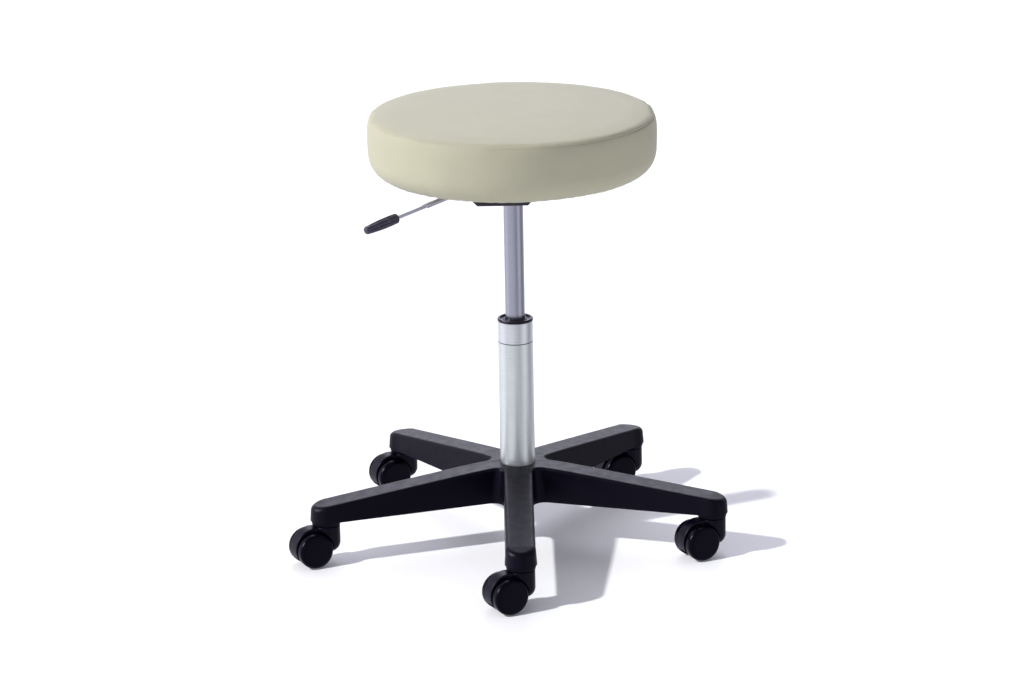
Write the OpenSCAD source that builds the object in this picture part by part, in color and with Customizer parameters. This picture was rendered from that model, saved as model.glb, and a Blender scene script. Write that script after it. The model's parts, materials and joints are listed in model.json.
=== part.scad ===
// Dentist stool: a padded round seat on a gas spring, a five-leg base and five twin-wheel casters.
// The origin is on the floor, on the column's axis. One leg of the base points along -Y.

/* [Casters] */
// Diameter of each caster wheel
wheel_d = 51; // [48:0.5:52]
// Width of each caster wheel
wheel_w = 13; // [12:0.5:14]
// Gap between the two wheels of a caster
wheel_gap = 22; // [21:0.5:23]
// Distance from a caster's swivel axis to its axle
caster_trail = 25; // [24:0.5:26]
// Height of a caster's swivel face above the floor
caster_h = 57; // [56:0.5:60]
// Direction in which every caster trails, from +X towards +Y
caster_turn = 207; // [0:1:359]

/* [Base] */
// Distance from the column's axis to each caster's swivel axis
caster_r = 288; // [270:1:300]
// Width of each leg
leg_w = 41; // [40:1:43]
// Diameter of the rounded end of each leg
boss_d = 44; // [44:1:46]
// Thickness of each leg over its caster
leg_end_t = 25; // [24:1:30]
// Thickness of the base at its hub
hub_t = 52.5; // [50:0.5:60]

/* [Column] */
// Outer diameter of the outer tube
tube_d = 50; // [50:0.5:50.5]
// Height of the outer tube's top above the floor
tube_top_z = 327; // [325:1:340]
// Diameter of the pressure tube
spring_d = 28; // [28:0.5:28.5]
// Height travel of the seat
lift_stroke = 165; // [140:1:165]

/* [Seat] */
// Diameter of the padded seat
seat_d = 406; // [390:2:420]
// Height of the seat's lowest edge above the floor
seat_low_z = 543; // [540:1:546]
// Thickness of the padded seat at its rim
seat_t = 87; // [80:1:100]
// Rise of the seat's centre above its rim
seat_crown = 6; // [2:1:12]
// Radius of the rounded lower edge
seat_low_r = 33; // [32:1:34]
// Radius of the upper edge
seat_top_r = 12; // [8:1:16]

/* [Release lever] */
// Direction of the lever, from +X towards +Y
lever_turn = 221.6; // [215:0.1:228]
// Slope of the lever down to its grip, in degrees
lever_slope = 7.5; // [7:0.1:8]
// Distance from the column's axis to the grip's outer end
lever_reach = 271; // [250:1:280]
// Length of the grip
grip_len = 56; // [50:1:60]
// Largest diameter of the grip
grip_d = 15; // [13:0.5:17]

/* [Hidden] */
$fn = 64;
legs = 5;
fit = 0.05;

// Casters
wheel_r = wheel_d / 2;
wheel_in = wheel_gap / 2;
wheel_out = wheel_in + wheel_w;
wheel_clear_r = wheel_r + 1.3;
wheel_edge_r = 5;
wheel_rim_t = 4;
wheel_face_t = 4;
wheel_hub_r = 8;
axle_r = 4;
axle_half = wheel_out - 4.5;
caster_web = wheel_in - 1.5;
neck_r = 19.5;
neck_low_z = 17;
neck_low_r = 14;
web_r = 15;
// The hood's top is an arc set back a little from the axle, and it ends at this angle in front
hood_x = caster_trail - 2;
hood_z = wheel_r + 2;
hood_r = caster_h - 0.5 - hood_z;
hood_end_angle = -25;
stem_r = 5.5;
stem_flange_r = 9;
stem_low_z = caster_h - 24;
stem_top_z = caster_h + 25;
ring_z = stem_top_z - 7;
ring_h = 4;
ring_neck_r = 4.6;
ring_r = 5.85;
ring_slot = 2;
ring_room_r = 6;

// Base
swivel_gap = 1;
leg_low_z = caster_h + swivel_gap + 5.5;
leg_end_z = leg_low_z + leg_end_t;
hub_top_z = leg_low_z + hub_t;
boss_ring_r = boss_d / 2 - 1.5;
leg_wall = 4;
pocket_from = 36;
pocket_to = caster_r - 24;
rib_t = 3;
rib_pitch = 56;
corner_r = 13;
corner_dist = (leg_w / 2 + corner_r) / sin(180 / legs);
leg_flat_r = (leg_w / 2 + corner_r) / tan(180 / legs) + 1;

// Column: the outer tube stands in the hub by a slim taper
tube_r = tube_d / 2;
tube_in_r = tube_r - 2;
taper_top_r = tube_r - 0.8;
taper_low_r = taper_top_r - 1.4;
tube_low_z = leg_low_z - 5.5;
tube_floor = 4;
rod_r = 5;
rod_low_z = tube_low_z - 7;
rest_washer_t = 1.5;
clip_t = 1.2;
clip_z = tube_low_z - 0.1 - rest_washer_t - clip_t;
clip_neck_r = 4.2;
race_t = 2;
race_in_r = 6;
race_out_r = 14;
ball_r = 2;
ball_ring_r = 10;
balls = 12;
cage_half_w = 3.2;
cage_t = 1.4;
lower_race_z = tube_low_z + tube_floor;
ball_z = lower_race_z + race_t + ball_r + 0.02;
upper_race_z = ball_z + ball_r + 0.02;
buffer_z = upper_race_z + race_t;
buffer_h = 12;
spring_r = spring_d / 2;
spring_in_r = spring_r - 1.5;
spring_low_z = buffer_z + buffer_h + 1 + lift_stroke;
seal_z = spring_low_z + 2;
seal_h = 14;
piston_z = seal_z + seal_h + 2;
piston_h = 10;
bush_z = spring_low_z - 10;
collar_z = tube_top_z - 7;
collar_lip_h = 3;
band_h = 30;
band_t = 0.5;
band_line = 0.8;

// Seat, from the plywood board down to the mechanism
seat_r = seat_d / 2;
board_z = seat_low_z + 11;
board_t = 14;
board_r = 160;
cover_t = 1.5;
flap_in_r = 142;
plate_t = 3;
plate_half = 92;
plate_corner = 18;
bolt_at = 72;
bolt_r = 3;
bolt_head_r = 6;
bolt_head_h = 3.5;
nut_r = 4;
nut_flange_r = 10;
nut_flange_t = 1.2;
staples = 36;
staple_ring_r = 144.6;
staple_crown = 10;
staple_leg = 7;
staple_wire = 0.9;
low_turn = acos((seat_low_z + seat_low_r - board_z + cover_t) / seat_low_r);

// Mechanism and gas spring head
plate_z = board_z - plate_t;
house_low_z = seat_low_z - 26;
house_x = [-57, 27];
house_half_y = 88;
house_t = 2.5;
house_bevel = 7;
socket_r = 18;
socket_top_z = seat_low_z;
spring_top_z = seat_low_z - 5;
cone_low_z = house_low_z - 1;
cone_top_r = spring_r - 0.55;
valve_z = spring_top_z - 31;
pin_r = 4;
pin_low_z = valve_z + 6;
pin_room_z = pin_low_z - 5;

// Lever, in its own frame: X along the lever, Z up, the column's axis at X = 0
lever_z = seat_low_z + 2;
pivot_x = 36;
pivot_z = lever_z - pivot_x * tan(lever_slope);
pivot_r = 2;
arm_w = 11;
arm_t = 3;
arm_from = -5;
arm_to = 164;
lever_rod_r = 2.5;
knuckle_r = 4.4;
ear_t = 2.5;
ear_gap = 0.6;
ear_half = 6;
pin_top_z = lever_z - arm_t / 2 / cos(lever_slope) - 0.18;
lever_slot_z = lever_z - 17;
lever_slot_h = 16;
grip_flutes = 12;
flute_r = 1.3;

// Points of an arc from angle a0 to angle a1, in steps of about 10 degrees
function arc(x, y, r, a0, a1) =
    let (n = max(2, ceil(abs(a1 - a0) / 10)))
    [for (i = [0:n]) let (a = a0 + (a1 - a0) * i / n) [x + r * cos(a), y + r * sin(a)]];

// Points turned about the origin by a
function turned(points, a) =
    [for (p = points) [p[0] * cos(a) - p[1] * sin(a), p[0] * sin(a) + p[1] * cos(a)]];

// A ring or disc: inner radius, outer radius, lower height and thickness
module ring(r_in, r_out, z, h) {
    translate([0, 0, z]) difference() {
        cylinder(r = r_out, h = h);
        if (r_in > 0) translate([0, 0, -1]) cylinder(r = r_in, h = h + 2);
    }
}

// Turns the children to each leg's direction
module each_leg() {
    for (k = [0:legs - 1]) rotate(-90 + k * 360 / legs) children();
}

// Places the children at caster k, with X along its trail and Y along its axle
module at_caster(k) {
    turn = -90 + (k - 1) * 360 / legs;
    translate([caster_r * cos(turn), caster_r * sin(turn), 0]) rotate(caster_turn) children();
}

// A solid of revolution about the caster's axle, drawn as [radius, distance along the axle]
module about_axle() {
    translate([caster_trail, 0, wheel_r]) rotate([-90, 0, 0]) rotate_extrude() children();
}

// ---- Base ----

// Height of a leg's sloping top at a distance x from the column's axis
function leg_top(x) = hub_top_z - (hub_top_z - leg_end_z) * (x - leg_flat_r) / (caster_r - leg_flat_r);

// The base seen from above: for each leg, the rounded corner before it and then its round end
function star_outline() = [
    for (k = [0:legs - 1])
        let (turn = -90 + k * 360 / legs, half = 180 / legs, side = asin(leg_w / boss_d))
        each concat(turned(arc(corner_dist, 0, corner_r, 270 - half, 90 + half), turn - half),
                    turned(arc(caster_r, 0, boss_d / 2, side - 180, 180 - side), turn))];

// What the slope of a leg's top takes off the straight-sided star
module top_cut() {
    from = leg_flat_r - 5;
    to = caster_r + boss_d;
    rotate([90, 0, 0]) translate([0, 0, -boss_d]) linear_extrude(2 * boss_d)
        polygon([[from, leg_top(from)], [to, leg_top(to)], [to, hub_top_z + 20], [from, hub_top_z + 20]]);
}

// The hollow under a leg, with a rib along its middle and ribs across it
module leg_pocket() {
    side = leg_w / 2 - leg_wall;
    intersection() {
        for (s = [0, 1]) mirror([0, s, 0]) difference() {
            translate([pocket_from, rib_t / 2, leg_low_z - 1])
                cube([pocket_to - pocket_from, side - rib_t / 2, hub_t]);
            for (x = [pocket_from + rib_pitch:rib_pitch:pocket_to - 10])
                translate([x, -1, leg_low_z - 2]) cube([rib_t, side + 2, hub_t + 2]);
        }
        rotate([90, 0, 0]) translate([0, 0, -boss_d]) linear_extrude(2 * boss_d)
            polygon([[pocket_from - 5, leg_low_z - 5], [caster_r, leg_low_z - 5],
                     [caster_r, leg_top(caster_r) - leg_wall], [leg_flat_r, hub_top_z - leg_wall],
                     [pocket_from - 5, hub_top_z - leg_wall]]);
    }
}

module base_star() {
    color([0.13, 0.13, 0.15]) difference() {
        union() {
            translate([0, 0, leg_low_z]) linear_extrude(hub_t) polygon(star_outline());
            each_leg() translate([caster_r, 0, caster_h + swivel_gap]) cylinder(r = boss_ring_r, h = 10);
        }
        each_leg() top_cut();
        each_leg() leg_pocket();
        each_leg() translate([caster_r, 0, 0]) {
            translate([0, 0, caster_h]) cylinder(r = stem_r + fit, h = stem_top_z - caster_h + 1.5);
            translate([0, 0, ring_z - 0.5]) cylinder(r = ring_room_r, h = ring_h + 1);
        }
        translate([0, 0, tube_low_z])
            cylinder(r1 = taper_low_r, r2 = taper_top_r, h = hub_top_z - tube_low_z);
        translate([0, 0, hub_top_z - 1.5]) cylinder(r = tube_r + 0.8, h = 3);
    }
}

// ---- Column ----

module outer_tube() {
    color([0.80, 0.81, 0.83]) rotate_extrude() polygon([
        [rod_r + fit, tube_low_z], [taper_low_r, tube_low_z], [taper_top_r, hub_top_z],
        [tube_r, hub_top_z + 1], [tube_r, tube_top_z - band_h - band_line],
        [tube_r - band_t, tube_top_z - band_h - band_line], [tube_r - band_t, tube_top_z],
        [tube_in_r, tube_top_z], [tube_in_r, lower_race_z], [rod_r + fit, lower_race_z]]);
}

module trim_band() {
    color([0.84, 0.85, 0.87]) ring(tube_r - band_t, tube_r, tube_top_z - band_h, band_h - 0.5);
}

module top_collar() {
    color([0.09, 0.09, 0.10]) rotate_extrude() polygon([
        [spring_r + 3, collar_z], [tube_in_r, collar_z], [tube_in_r, tube_top_z], [tube_r, tube_top_z],
        [tube_r, tube_top_z + collar_lip_h - 1], [tube_r - 1, tube_top_z + collar_lip_h],
        [tube_r - 3, tube_top_z + collar_lip_h], [tube_r - 4, tube_top_z + collar_lip_h - 2],
        [spring_r + 3, tube_top_z + collar_lip_h - 2], [spring_r + 2.4, tube_top_z + collar_lip_h - 0.5],
        [spring_r + 0.8, tube_top_z + collar_lip_h - 0.5], [spring_r + 0.8, collar_z + 4],
        [spring_r + 3, collar_z + 4]]);
}

module guide_bush() {
    color([0.85, 0.85, 0.80]) ring(spring_r + fit, tube_in_r, bush_z, collar_z - bush_z);
}

module lower_race() {
    color([0.6, 0.6, 0.62]) ring(race_in_r, race_out_r, lower_race_z, race_t);
}

module bearing_balls() {
    color([0.75, 0.75, 0.77]) for (i = [0:balls - 1]) rotate(i * 360 / balls)
        translate([ball_ring_r, 0, ball_z]) sphere(r = ball_r);
}

module ball_cage() {
    color([0.72, 0.60, 0.30]) difference() {
        ring(ball_ring_r - cage_half_w, ball_ring_r + cage_half_w, ball_z - cage_t / 2, cage_t);
        for (i = [0:balls - 1]) rotate(i * 360 / balls)
            translate([ball_ring_r, 0, ball_z - 2]) cylinder(r = ball_r + 0.1, h = 4);
    }
}

module upper_race() {
    color([0.6, 0.6, 0.62]) ring(race_in_r, race_out_r, upper_race_z, race_t);
}

module rest_washer() {
    color([0.6, 0.6, 0.62]) ring(rod_r + fit, race_out_r, tube_low_z - 0.05 - rest_washer_t, rest_washer_t);
}

module rod_clip() {
    color([0.5, 0.5, 0.52]) difference() {
        ring(clip_neck_r, rod_r + 3.5, clip_z, clip_t);
        translate([0, -clip_neck_r * 0.7, 0]) cube([20, clip_neck_r * 1.4, tube_low_z]);
    }
}

module rubber_buffer() {
    color([0.12, 0.12, 0.12]) ring(rod_r + 0.1, rod_r + 7, buffer_z, buffer_h);
}

// ---- Gas spring ----

module piston_rod() {
    color([0.7, 0.7, 0.72]) union() {
        translate([0, 0, rod_low_z]) cylinder(r = rod_r, h = clip_z - rod_low_z);
        translate([0, 0, clip_z]) cylinder(r = clip_neck_r, h = clip_t);
        translate([0, 0, clip_z + clip_t]) cylinder(r = rod_r, h = piston_z + piston_h - clip_z - clip_t);
        ring(rod_r - 1, race_in_r, upper_race_z, race_t);
    }
}

module piston() {
    color([0.35, 0.35, 0.38]) ring(rod_r, spring_in_r - fit, piston_z, piston_h);
}

module rod_seal() {
    color([0.2, 0.2, 0.22]) ring(rod_r + fit, spring_in_r, seal_z, seal_h);
}

module pressure_tube() {
    color([0.72, 0.73, 0.77]) rotate_extrude() polygon([
        [spring_in_r, spring_low_z], [spring_r, spring_low_z], [spring_r, cone_low_z],
        [cone_top_r, spring_top_z], [pin_r + fit, spring_top_z], [pin_r + fit, spring_top_z - 3],
        [spring_in_r, spring_top_z - 3]]);
}

module valve_body() {
    color([0.45, 0.45, 0.48]) difference() {
        translate([0, 0, valve_z]) cylinder(r = spring_in_r, h = spring_top_z - 3 - valve_z);
        translate([0, 0, pin_room_z]) cylinder(r = pin_r + fit, h = 40);
    }
}

module valve_pin() {
    dome = 8;
    color([0.65, 0.65, 0.68]) intersection() {
        translate([0, 0, pin_low_z]) cylinder(r = pin_r, h = pin_top_z - pin_low_z);
        translate([0, 0, pin_top_z - dome]) union() {
            sphere(r = dome);
            translate([0, 0, -60]) cylinder(r = pin_r + 1, h = 60);
        }
    }
}

// ---- Seat mechanism ----

module taper_socket() {
    color([0.10, 0.10, 0.11]) difference() {
        translate([0, 0, house_low_z]) cylinder(r = socket_r, h = socket_top_z - house_low_z);
        translate([0, 0, cone_low_z])
            cylinder(r1 = spring_r, r2 = cone_top_r, h = spring_top_z - cone_low_z);
        translate([0, 0, spring_top_z - 0.01]) cylinder(r = cone_top_r, h = 30);
        rotate(lever_turn) translate([0, -arm_w / 2 - 1, spring_top_z - 1.5]) cube([30, arm_w + 2, 30]);
    }
}

// The housing's end outline, cut in by t all round and reaching up to top
module house_outline(t, top) {
    left = house_x[0] + t;
    right = house_x[1] - t;
    low = house_low_z + t;
    polygon([[left + house_bevel, low], [right - house_bevel, low], [right, low + house_bevel],
             [right, top], [left, top], [left, low + house_bevel]]);
}

module mechanism_housing() {
    color([0.10, 0.10, 0.11]) difference() {
        rotate([90, 0, 0]) translate([0, 0, -house_half_y])
            linear_extrude(2 * house_half_y) house_outline(0, plate_z);
        rotate([90, 0, 0]) translate([0, 0, -house_half_y + house_t])
            linear_extrude(2 * (house_half_y - house_t)) house_outline(house_t, plate_z + 1);
        translate([0, 0, house_low_z - 1]) cylinder(r = socket_r, h = 10);
        rotate(lever_turn) translate([50, -arm_w / 2 - 2, lever_slot_z])
            cube([60, arm_w + 4, lever_slot_h]);
    }
}

module mounting_plate() {
    far = plate_half;
    near = plate_half - plate_corner;
    color([0.10, 0.10, 0.11]) difference() {
        translate([0, 0, plate_z]) linear_extrude(plate_t)
            polygon([[-far, -near], [-near, -far], [near, -far], [far, -near],
                     [far, near], [near, far], [-near, far], [-far, near]]);
        for (x = [-1, 1], y = [-1, 1]) translate([x * bolt_at, y * bolt_at, plate_z - 1])
            cylinder(r = bolt_r + 0.3, h = plate_t + 2);
    }
}

module plate_bolts() {
    color([0.55, 0.55, 0.57]) for (x = [-1, 1], y = [-1, 1]) translate([x * bolt_at, y * bolt_at, 0]) {
        difference() {
            translate([0, 0, plate_z - bolt_head_h])
                cylinder(r1 = bolt_head_r - 1.4, r2 = bolt_head_r, h = bolt_head_h);
            translate([0, 0, plate_z - bolt_head_h - 0.5]) cylinder(r = 2, h = 2.5, $fn = 6);
        }
        translate([0, 0, plate_z]) cylinder(r = bolt_r - fit, h = plate_t + board_t - 1);
    }
}

module t_nuts() {
    color([0.70, 0.66, 0.50]) for (x = [-1, 1], y = [-1, 1]) translate([x * bolt_at, y * bolt_at, 0])
        difference() {
            union() {
                translate([0, 0, board_z + board_t]) cylinder(r = nut_flange_r, h = nut_flange_t);
                translate([0, 0, board_z + 4]) cylinder(r = nut_r, h = board_t - 4);
            }
            translate([0, 0, board_z]) cylinder(r = bolt_r, h = 40);
        }
}

module lever_bracket() {
    from = arm_w / 2 + ear_gap;
    low = house_low_z + house_t;
    color([0.45, 0.45, 0.47]) rotate(lever_turn) for (side = [0, 1]) mirror([0, side, 0]) difference() {
        union() {
            translate([pivot_x - ear_half, from, low]) cube([2 * ear_half, ear_t, pivot_z - low]);
            translate([pivot_x, from + ear_t, pivot_z]) rotate([90, 0, 0])
                cylinder(r = ear_half, h = ear_t);
            translate([pivot_x - ear_half, from + ear_t, low]) cube([2 * ear_half, 3, 2]);
        }
        translate([pivot_x, 30, pivot_z]) rotate([90, 0, 0]) cylinder(r = pivot_r, h = 60);
    }
}

module lever_pivot() {
    half = arm_w / 2 + ear_gap + ear_t;
    color([0.6, 0.6, 0.62]) rotate(lever_turn) translate([pivot_x, 0, pivot_z]) rotate([90, 0, 0]) {
        translate([0, 0, -half]) cylinder(r = pivot_r, h = 2 * half);
        translate([0, 0, half]) cylinder(r = pivot_r + 1.2, h = 1);
        translate([0, 0, -half - 1]) cylinder(r = pivot_r + 1.2, h = 1);
    }
}

// Places the children along the sloping lever, with X down the lever from the column's axis
module along_lever() {
    rotate(lever_turn) translate([0, 0, lever_z]) rotate([0, lever_slope, 0]) children();
}

module release_lever() {
    long = 1 / cos(lever_slope);
    color([0.62, 0.62, 0.65]) difference() {
        union() {
            along_lever() {
                translate([arm_from, -arm_w / 2, -arm_t / 2])
                    cube([arm_to * long - arm_from, arm_w, arm_t]);
                translate([(arm_to - 8) * long, 0, 0]) rotate([0, 90, 0])
                    cylinder(r = lever_rod_r, h = (lever_reach - arm_to - 6) * long);
            }
            rotate(lever_turn) translate([pivot_x, arm_w / 2, pivot_z]) rotate([90, 0, 0])
                cylinder(r = knuckle_r, h = arm_w);
        }
        rotate(lever_turn) translate([pivot_x, 30, pivot_z]) rotate([90, 0, 0])
            cylinder(r = pivot_r + fit, h = 60);
    }
}

// Half the grip's outline: a slim barrel with a rounded outer end, from its inner end at 0
function grip_r(x) = grip_d / 2 * (0.70 + 0.30 * sin(180 * min(1, x / grip_len / 0.86)));

module lever_grip() {
    long = 1 / cos(lever_slope);
    tip_r = grip_r(grip_len) - 0.6;
    color([0.12, 0.12, 0.13]) along_lever()
        translate([(lever_reach - grip_len) * long, 0, 0]) rotate([0, 90, 0]) difference() {
            rotate_extrude() polygon(concat(
                [[0, 0]],
                [for (i = [0:8]) let (x = (grip_len - 4) * i / 8) [grip_r(x), x]],
                [[tip_r, grip_len - 1], [tip_r - 2, grip_len], [0, grip_len]]));
            translate([0, 0, -1]) cylinder(r = lever_rod_r, h = grip_len - 7 + 2);
            for (i = [0:grip_flutes - 1]) rotate(i * 360 / grip_flutes)
                translate([grip_d / 2 + 0.6, 0, -1]) cylinder(r = flute_r, h = grip_len - 6);
        }
}

// ---- Seat ----

// Half section of the seat inside its cover when t = 0, or inset by t
module seat_outline(t) {
    low_z = seat_low_z + seat_low_r;
    low_x = seat_r - seat_low_r;
    top_z = seat_low_z + seat_t - seat_top_r;
    top_x = seat_r - seat_top_r;
    start = -90 - low_turn;
    polygon(concat(
        [[flap_in_r, board_z], [flap_in_r, board_z - cover_t + t]],
        arc(low_x, low_z, seat_low_r - t, start, 0),
        arc(top_x, top_z, seat_top_r - t, 0, 90),
        [for (i = [1:6]) let (u = 1 - i / 6)
            [top_x * u, seat_low_z + seat_t - t + seat_crown * (1 - u * u)]],
        [[0, board_z]]));
}

module seat_cover() {
    color([0.76, 0.76, 0.68]) rotate_extrude() difference() {
        seat_outline(0);
        seat_outline(cover_t);
        translate([0, board_z - 5]) square([flap_in_r, board_t]);
    }
}

module seat_foam() {
    color([0.90, 0.87, 0.70]) difference() {
        rotate_extrude() intersection() {
            seat_outline(cover_t);
            translate([0, board_z - 30]) square([seat_r, 200]);
        }
        translate([0, 0, board_z - 2]) cylinder(r = board_r, h = board_t + 2);
        for (x = [-1, 1], y = [-1, 1]) translate([x * bolt_at, y * bolt_at, board_z])
            cylinder(r = nut_flange_r, h = board_t + nut_flange_t);
    }
}

module seat_board() {
    color([0.75, 0.62, 0.42]) difference() {
        translate([0, 0, board_z]) cylinder(r = board_r, h = board_t);
        for (x = [-1, 1], y = [-1, 1]) translate([x * bolt_at, y * bolt_at, 0]) {
            translate([0, 0, board_z - 1]) cylinder(r = bolt_r + 0.3, h = board_t + 2);
            translate([0, 0, board_z + 4]) cylinder(r = nut_r, h = board_t);
        }
    }
}

module staples() {
    wire = staple_wire;
    crown = staple_crown;
    color([0.7, 0.7, 0.72]) for (i = [0:staples - 1]) rotate(i * 360 / staples)
        translate([staple_ring_r, 0, board_z - cover_t - wire]) {
            translate([-wire / 2, -crown / 2, 0]) cube([wire, crown, wire]);
            for (s = [-1, 1]) translate([-wire / 2, s * (crown - wire) / 2 - wire / 2, 0])
                cube([wire, wire, staple_leg]);
        }
}

// ---- Casters ----

module caster_body(k) {
    far = 40;
    color([0.10, 0.10, 0.11]) at_caster(k) difference() {
        union() {
            rotate_extrude() polygon(concat(
                [[0, caster_h], [0, neck_low_z]],
                arc(neck_r - neck_low_r, neck_low_z + neck_low_r, neck_low_r, -90, 0),
                [[neck_r, caster_h - 1], [neck_r - 1, caster_h]]));
            translate([0, caster_web, 0]) rotate([90, 0, 0]) linear_extrude(2 * caster_web) union() {
                translate([caster_trail, wheel_r]) circle(r = web_r);
                intersection() {
                    translate([hood_x, hood_z]) circle(r = hood_r);
                    translate([caster_trail, wheel_r]) polygon([
                        [0, 0], [far * cos(hood_end_angle), far * sin(hood_end_angle)],
                        [far, far], [-far, far], [-far, 0]]);
                }
                translate([0, neck_low_z + 4]) square([caster_trail - 10, caster_h - neck_low_z - 16]);
            }
        }
        for (s = [-1, 1]) translate([caster_trail, s * 30, wheel_r]) rotate([s * 90, 0, 0])
            cylinder(r = wheel_clear_r, h = 30 - caster_web);
        translate([caster_trail, 30, wheel_r]) rotate([90, 0, 0]) cylinder(r = axle_r, h = 60);
        translate([0, 0, stem_low_z]) cylinder(r = stem_r, h = 60);
    }
}

// The plug-in stem, with its snap ring held in a neck near the top
module caster_stem(k) {
    color([0.62, 0.62, 0.64]) at_caster(k) {
        translate([0, 0, stem_low_z]) cylinder(r = stem_r, h = ring_z - stem_low_z);
        translate([0, 0, ring_z]) cylinder(r = ring_neck_r, h = ring_h);
        translate([0, 0, ring_z + ring_h])
            cylinder(r1 = stem_r, r2 = stem_r - 1, h = stem_top_z - ring_z - ring_h);
        translate([0, 0, caster_h]) cylinder(r = stem_flange_r, h = swivel_gap - fit);
        difference() {
            ring(ring_neck_r, ring_r, ring_z + 0.3, ring_h - 0.6);
            translate([0, -ring_slot / 2, ring_z - 1]) cube([10, ring_slot, ring_h + 2]);
        }
    }
}

module caster_axle(k) {
    color([0.62, 0.62, 0.64]) at_caster(k) translate([caster_trail, axle_half, wheel_r])
        rotate([90, 0, 0]) cylinder(r = axle_r, h = 2 * axle_half);
}

// One wheel: a rim and a closed outer face round a hub that is bored for the axle
module wheel(k, side) {
    color([0.07, 0.07, 0.08]) at_caster(k) mirror([0, side < 0 ? 1 : 0, 0]) about_axle() polygon(concat(
        [[axle_r + fit, wheel_in], [wheel_hub_r, wheel_in], [wheel_hub_r, wheel_out - wheel_face_t],
         [wheel_r - wheel_rim_t, wheel_out - wheel_face_t], [wheel_r - wheel_rim_t, wheel_in],
         [wheel_r - 1, wheel_in], [wheel_r, wheel_in + 1]],
        arc(wheel_r - wheel_edge_r, wheel_out - wheel_edge_r, wheel_edge_r, 0, 90),
        [[0, wheel_out], [0, axle_half + 0.3], [axle_r + fit, axle_half + 0.3]]));
}

base_star();
outer_tube();
trim_band();
top_collar();
guide_bush();
lower_race();
bearing_balls();
ball_cage();
upper_race();
rest_washer();
rod_clip();
rubber_buffer();
piston_rod();
piston();
rod_seal();
pressure_tube();
valve_body();
valve_pin();
taper_socket();
mechanism_housing();
mounting_plate();
plate_bolts();
t_nuts();
lever_bracket();
lever_pivot();
release_lever();
lever_grip();
seat_board();
seat_foam();
seat_cover();
staples();
for (k = [1:legs]) {
    caster_body(k);
    caster_stem(k);
    caster_axle(k);
    wheel(k, 1);
    wheel(k, -1);
}
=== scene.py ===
import json
import math

import bmesh
import bpy
import numpy as np
from mathutils import Matrix, Vector, noise
from mathutils.bvhtree import BVHTree

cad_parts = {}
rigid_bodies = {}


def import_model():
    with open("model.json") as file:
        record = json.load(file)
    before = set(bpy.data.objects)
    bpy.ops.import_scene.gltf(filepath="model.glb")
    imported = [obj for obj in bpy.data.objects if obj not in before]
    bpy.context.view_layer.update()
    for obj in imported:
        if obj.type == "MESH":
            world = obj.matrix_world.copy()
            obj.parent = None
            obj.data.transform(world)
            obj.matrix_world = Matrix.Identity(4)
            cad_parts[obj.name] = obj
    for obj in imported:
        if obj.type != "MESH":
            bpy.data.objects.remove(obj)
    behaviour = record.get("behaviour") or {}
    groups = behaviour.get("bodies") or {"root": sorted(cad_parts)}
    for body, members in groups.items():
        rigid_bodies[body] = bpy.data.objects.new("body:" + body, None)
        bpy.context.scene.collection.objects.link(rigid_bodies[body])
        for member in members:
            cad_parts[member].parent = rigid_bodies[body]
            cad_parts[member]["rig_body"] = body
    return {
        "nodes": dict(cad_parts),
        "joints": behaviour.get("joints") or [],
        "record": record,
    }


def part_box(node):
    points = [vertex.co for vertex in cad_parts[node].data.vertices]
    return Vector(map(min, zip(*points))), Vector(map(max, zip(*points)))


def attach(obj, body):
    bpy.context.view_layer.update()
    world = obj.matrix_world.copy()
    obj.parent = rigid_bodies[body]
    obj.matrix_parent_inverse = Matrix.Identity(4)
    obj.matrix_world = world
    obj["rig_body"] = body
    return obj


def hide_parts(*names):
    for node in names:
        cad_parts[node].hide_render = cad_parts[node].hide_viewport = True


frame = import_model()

# Shapes are worked out in millimetres, in the frame's own axes, and scaled to metres as each mesh is made.
MM = 0.001
LEGS = 5
scene = bpy.context.scene
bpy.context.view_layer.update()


def node_box(node):
    """The lowest and the highest corner of a CAD node, in millimetres."""
    low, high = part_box(node)
    return low / MM, high / MM


# ---------------------------------------------------------------- camera and light

LENS = 126.0            # mm, on a 36 mm wide sensor
CAMERA_DISTANCE = 4.890  # m, level, from the column's axis
CAMERA_HEIGHT = 1.763   # m
CAMERA_PITCH = 16.69    # degrees down
CAMERA_ROLL = -1.05     # degrees
CAMERA_TURN = -0.35     # degrees round the column's axis
CAMERA_YAW = 0.06       # degrees
KEY = 3.6               # strength of the light on the object
KEY_FROM = (-0.80, -0.12, 0.50)
KEY_SPREAD = 18         # degrees
FLOOR_KEY = 3.5         # strength of the light on the floor
FLOOR_KEY_FROM = (-1.1, -0.5, 1.0)
FLOOR_KEY_SPREAD = 2.6
CEILING = 0.31          # brightness overhead
AIR = (0.965, 0.97, 1.10)
# Brightness of the studio's walls by direction, in degrees from the camera's side, to the right
WALLS = [(-180, 1.0), (-125, 0.85), (-95, 1.05), (-66, 0.80), (-25, 0.74), (0, 0.66), (26, 0.42), (62, 0.82), 
         (98, 0.30), (125, 0.5), (180, 1.0)]
# The glow of the backdrop, in the same way. It rises well above the horizon.
GLOW = [(-180, 4.2), (-156, 0.0), (156, 0.0), (180, 4.2)]


def turn_about(axis, degrees):
    return Matrix.Rotation(math.radians(degrees), 4, axis)


def add_camera():
    data = bpy.data.cameras.new("camera")
    data.lens = LENS
    data.sensor_width = 36
    data.clip_end = 100
    camera = bpy.data.objects.new("camera", data)
    scene.collection.objects.link(camera)
    camera.matrix_world = (
        turn_about("Z", CAMERA_TURN)
        @ Matrix.Translation((0, -CAMERA_DISTANCE, CAMERA_HEIGHT))
        @ turn_about("Z", CAMERA_YAW)
        @ turn_about("X", 90 - CAMERA_PITCH)
        @ turn_about("Z", CAMERA_ROLL)
    )
    scene.camera = camera


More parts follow.
